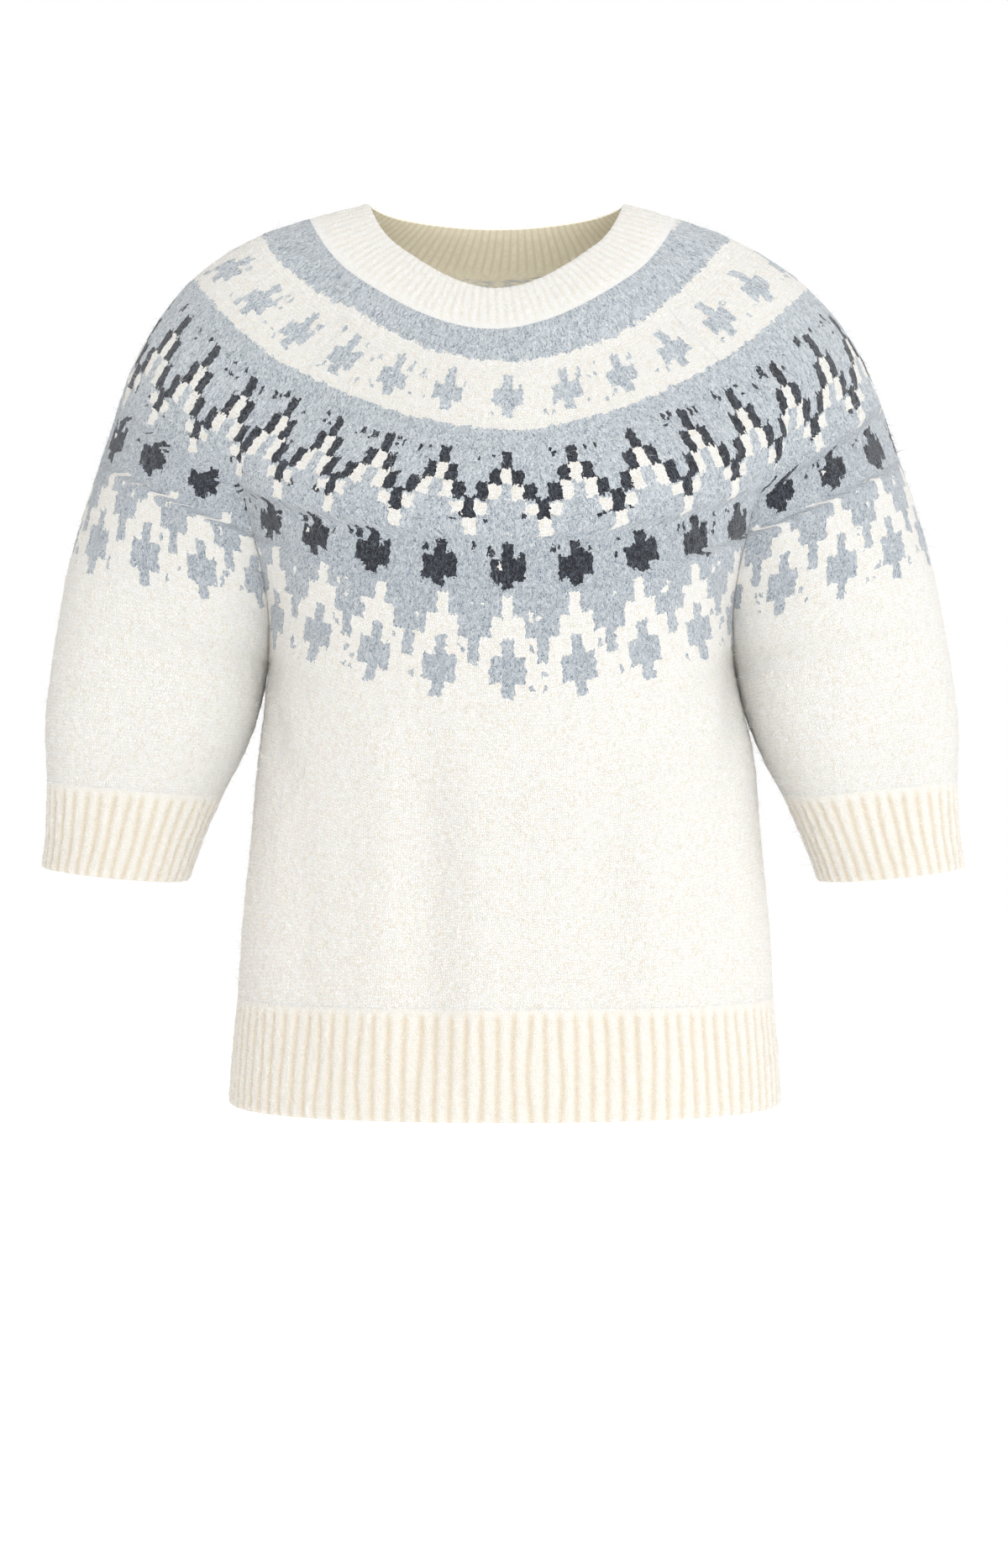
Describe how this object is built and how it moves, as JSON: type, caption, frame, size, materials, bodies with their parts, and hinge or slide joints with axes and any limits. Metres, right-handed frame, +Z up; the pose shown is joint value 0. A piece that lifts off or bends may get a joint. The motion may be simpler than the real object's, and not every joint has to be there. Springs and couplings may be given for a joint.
{
  "type": "pullover sweater",
  "caption": "Pullover sweater, hollow as worn: round patterned yoke, raglan sleeves to the forearm, ribbed neck, hem and cuffs.",
  "frame": {"origin": "middle of the shoulders, at the height where the neck rib is sewn on there, where the wearer holds it up", "axes": "+Z up, -Y the front of the garment, +X to the viewer's right"},
  "size_m": [0.6568, 0.262, 0.6406],
  "materials": {
    "front_wool": "matte brushed knit",
    "back_wool": "matte brushed knit",
    "sleeve_left_wool": "matte brushed knit",
    "sleeve_right_wool": "matte brushed knit",
    "neck_rib_wool": "matte brushed knit",
    "hem_rib_front_wool": "matte brushed knit",
    "hem_rib_back_wool": "matte brushed knit",
    "cuff_rib_left_wool": "matte brushed knit",
    "cuff_rib_right_wool": "matte brushed knit"
  },
  "bodies": {
    "root": {"front": "front_wool", "back": "back_wool", "sleeve_left": "sleeve_left_wool", "sleeve_right": "sleeve_right_wool", "neck_rib": "neck_rib_wool", "hem_rib_front": "hem_rib_front_wool", "hem_rib_back": "hem_rib_back_wool", "cuff_rib_left": "cuff_rib_left_wool", "cuff_rib_right": "cuff_rib_right_wool"}
  },
  "joints": []
}
